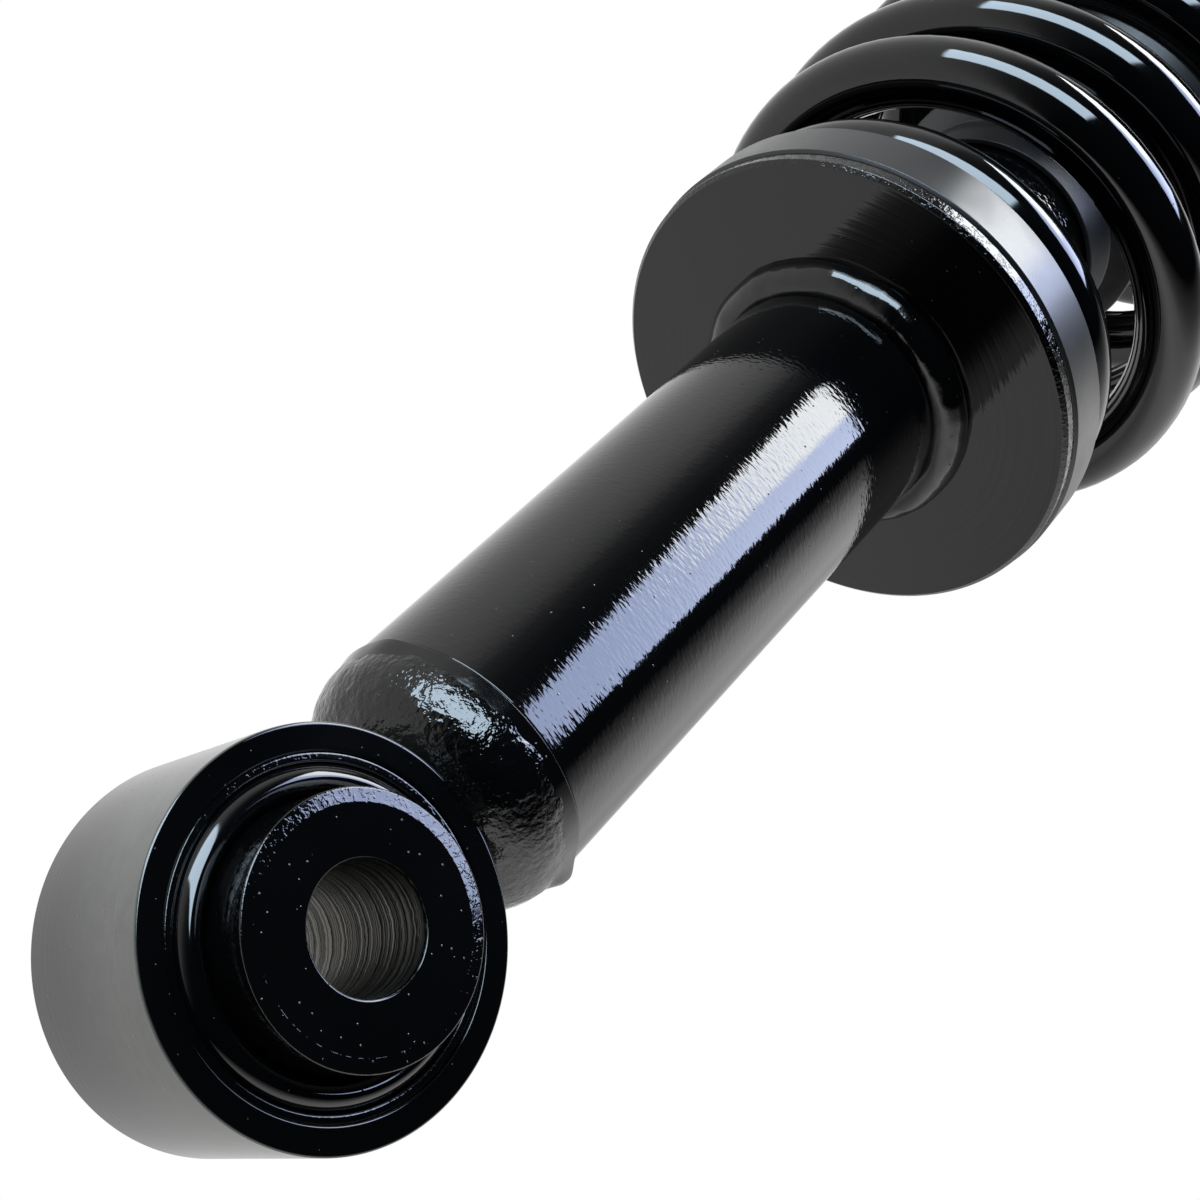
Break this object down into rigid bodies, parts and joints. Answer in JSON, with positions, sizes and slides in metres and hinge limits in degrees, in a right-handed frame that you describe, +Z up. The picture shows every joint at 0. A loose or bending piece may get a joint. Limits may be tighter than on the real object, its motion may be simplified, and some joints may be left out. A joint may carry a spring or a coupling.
{
  "type": "coil-over strut assembly",
  "caption": "Coil spring over a tubular damper, with a bushed eye at the foot, a round spring seat on the body and a studded plate on top.",
  "frame": {"origin": "centre of the lower eye's bolt bore", "axes": "+Z up the strut's axis to the top mount, Y along the lower bolt, X across it"},
  "size_m": [0.145, 0.1408, 0.5338],
  "materials": {
    "black_paint": "gloss",
    "spring_coat": "gloss powder coat",
    "rubber": "matt",
    "boot_rubber": "satin",
    "bare_steel": "turned",
    "valve_steel": "blued",
    "sintered_steel": "sintered",
    "hard_chrome": "polished",
    "zinc_plate": "zinc plated",
    "foam": "microcellular foam",
    "ptfe": "filled PTFE"
  },
  "bodies": {
    "bush_sleeve": {"bush_inner_sleeve": "black_paint"},
    "damper_body": {"eye_ring": "black_paint", "bush_outer_shell": "black_paint", "bush_rubber": "black_paint", "base_cap": "black_paint", "cap_weld": "black_paint", "eye_weld": "black_paint", "reserve_tube": "black_paint", "lower_seat_plate": "black_paint", "seat_weld": "black_paint", "spring_perch_ring": "black_paint", "lower_isolator": "rubber", "coil_spring": "spring_coat", "base_valve_body": "sintered_steel", "base_valve_shims": "valve_steel", "base_valve_pin": "valve_steel", "pressure_tube": "bare_steel", "rod_guide": "sintered_steel", "guide_bush": "ptfe", "rod_seal": "rubber", "seal_washer": "valve_steel", "bump_cap": "zinc_plate", "dust_boot": "boot_rubber"},
    "base_check": {"base_check_plate": "valve_steel"},
    "piston_ring": {"piston_band": "ptfe"},
    "rod_and_mount": {"piston_rod": "hard_chrome", "rebound_cushion": "rubber", "rebound_stop_ring": "bare_steel", "piston_stop_washer": "valve_steel", "piston": "sintered_steel", "piston_shims": "valve_steel", "piston_nut": "zinc_plate", "bump_stop": "foam", "lower_mount_washer": "zinc_plate", "mount_spacer": "zinc_plate", "lower_mount_bush": "rubber", "upper_mount_bush": "rubber", "upper_mount_washer": "zinc_plate", "rod_nut": "zinc_plate", "mount_plate": "black_paint", "mount_studs": "zinc_plate", "upper_spring_seat": "black_paint", "upper_isolator": "rubber"},
    "piston_check": {"piston_check_plate": "valve_steel"}
  },
  "joints": [
    {"name": "lower_bush_twist", "type": "hinge", "parent": "bush_sleeve", "child": "damper_body", "pos_m": [0, 0, 0], "axis": [0, 1, 0], "range_deg": [-20, 20], "stiffness_Nm_per_rad": 120},
    {"name": "damper_stroke", "type": "slide", "parent": "damper_body", "child": "piston_ring", "axis": [0, 0, -1], "range_m": [0, 0.118], "stiffness_N_per_m": 60000, "deforming": ["coil_spring", "dust_boot"]},
    {"name": "rod_spin", "type": "hinge", "parent": "piston_ring", "child": "rod_and_mount", "pos_m": [0, 0, 0.21], "axis": [0, 0, 1], "continuous": true},
    {"name": "base_valve_lift", "type": "slide", "parent": "damper_body", "child": "base_check", "axis": [0, 0, 1], "range_m": [0, 0.001], "stiffness_N_per_m": 300},
    {"name": "piston_valve_lift", "type": "slide", "parent": "rod_and_mount", "child": "piston_check", "axis": [0, 0, 1], "range_m": [0, 0.001], "stiffness_N_per_m": 300}
  ]
}
